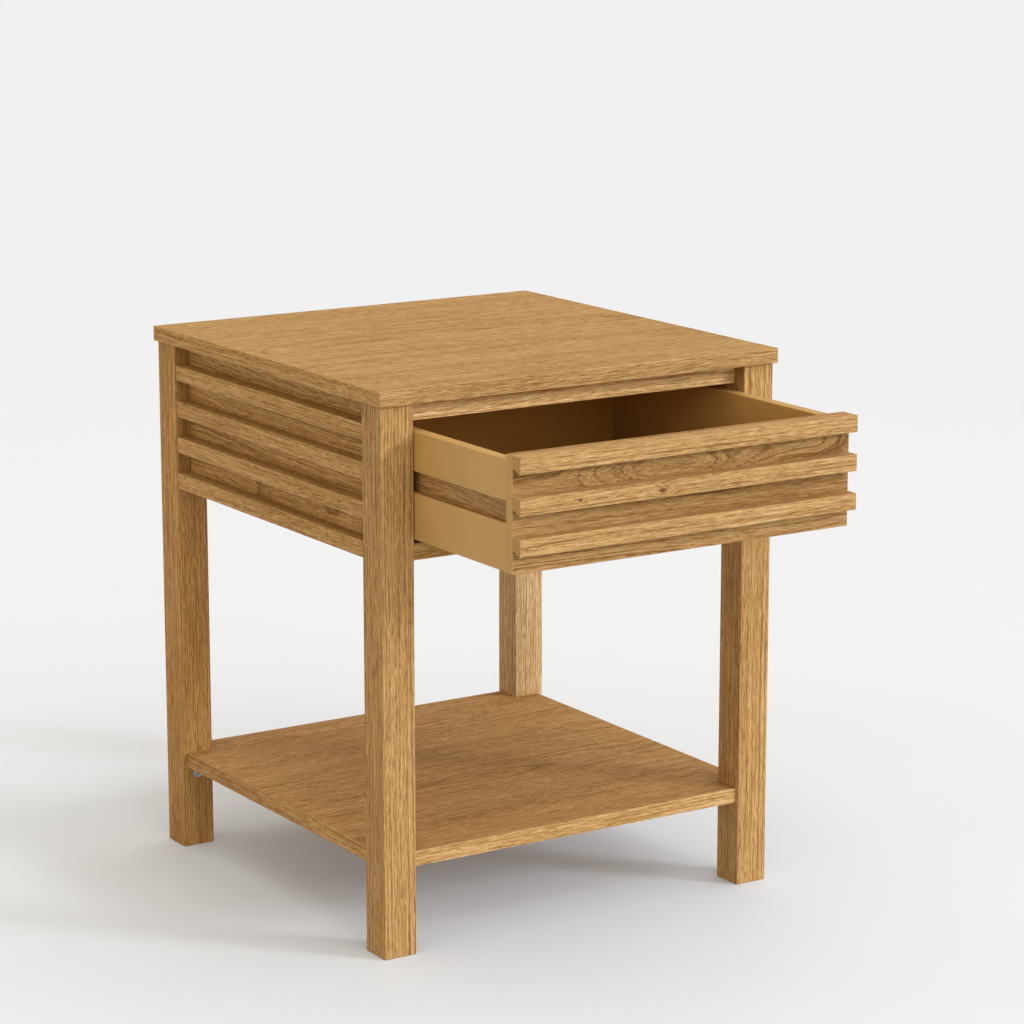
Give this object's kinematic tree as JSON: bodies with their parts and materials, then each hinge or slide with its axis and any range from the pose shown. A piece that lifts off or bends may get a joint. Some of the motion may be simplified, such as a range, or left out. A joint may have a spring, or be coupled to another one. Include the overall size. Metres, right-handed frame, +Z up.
{
  "type": "nightstand with a drawer",
  "caption": "Square oak nightstand on straight legs, with slatted aprons, a slatted drawer that slides out and a low open shelf.",
  "frame": {"origin": "on the floor, midway between the four legs", "axes": "+Z up, the drawer opens towards -Y, +X to the right seen from the front; the drawer stands 182 mm open at rest"},
  "size_m": [0.456, 0.6345, 0.55],
  "materials": {
    "oak_leg": "oiled solid oak, straight vertical grain",
    "oak_slat": "oiled solid oak, grain along the length",
    "oak_panel": "oak veneer, lacquered matt",
    "oak_veneer": "oak veneer, lacquered matt",
    "oak_edge": "oak edge band, lacquered matt",
    "drawer_foil": "plain tan foil on board, matt",
    "drawer_base": "foiled hardboard, matt",
    "runner_beech": "planed hardwood",
    "beech_dowel": "fluted beech",
    "zinc_steel": "zinc plated",
    "nylon": "moulded nylon"
  },
  "bodies": {
    "carcass": {"back_apron": "oak_panel", "cam_bolts": "zinc_steel", "cam_nuts": "zinc_steel", "front_bottom_rail": "oak_slat", "front_fixed_slat": "oak_slat", "front_top_rail": "oak_slat", "leg_front_left": "oak_leg", "leg_front_right": "oak_leg", "leg_rear_left": "oak_leg", "leg_rear_right": "oak_leg", "panel_dowels": "beech_dowel", "runner_left": "runner_beech", "runner_right": "runner_beech", "runner_screws": "zinc_steel", "shelf": "oak_veneer", "shelf_bracket_front_left": "zinc_steel", "shelf_bracket_front_right": "zinc_steel", "shelf_bracket_rear_left": "zinc_steel", "shelf_bracket_rear_right": "zinc_steel", "shelf_bracket_screws": "zinc_steel", "shelf_edge_front": "oak_edge", "shelf_edge_left": "oak_edge", "shelf_edge_rear": "oak_edge", "shelf_edge_right": "oak_edge", "side_apron_left": "oak_panel", "side_apron_right": "oak_panel", "slat_left_1": "oak_slat", "slat_left_2": "oak_slat", "slat_left_3": "oak_slat", "slat_left_4": "oak_slat", "slat_right_1": "oak_slat", "slat_right_2": "oak_slat", "slat_right_3": "oak_slat", "slat_right_4": "oak_slat", "top_edge_front": "oak_edge", "top_edge_left": "oak_edge", "top_edge_rear": "oak_edge", "top_edge_right": "oak_edge", "top_panel": "oak_veneer"},
    "drawer": {"drawer_back": "drawer_foil", "drawer_back_screws": "zinc_steel", "drawer_bottom": "drawer_base", "drawer_dowels": "beech_dowel", "drawer_front_board": "oak_panel", "drawer_side_left": "drawer_foil", "drawer_side_right": "drawer_foil", "drawer_slat_1": "oak_slat", "drawer_slat_2": "oak_slat", "drawer_slat_3": "oak_slat", "drawer_stop_left": "nylon", "drawer_stop_right": "nylon"}
  },
  "joints": [
    {"name": "drawer_slide", "type": "slide", "parent": "carcass", "child": "drawer", "axis": [0, -1, 0], "range_m": [-0.182, 0.118]}
  ]
}
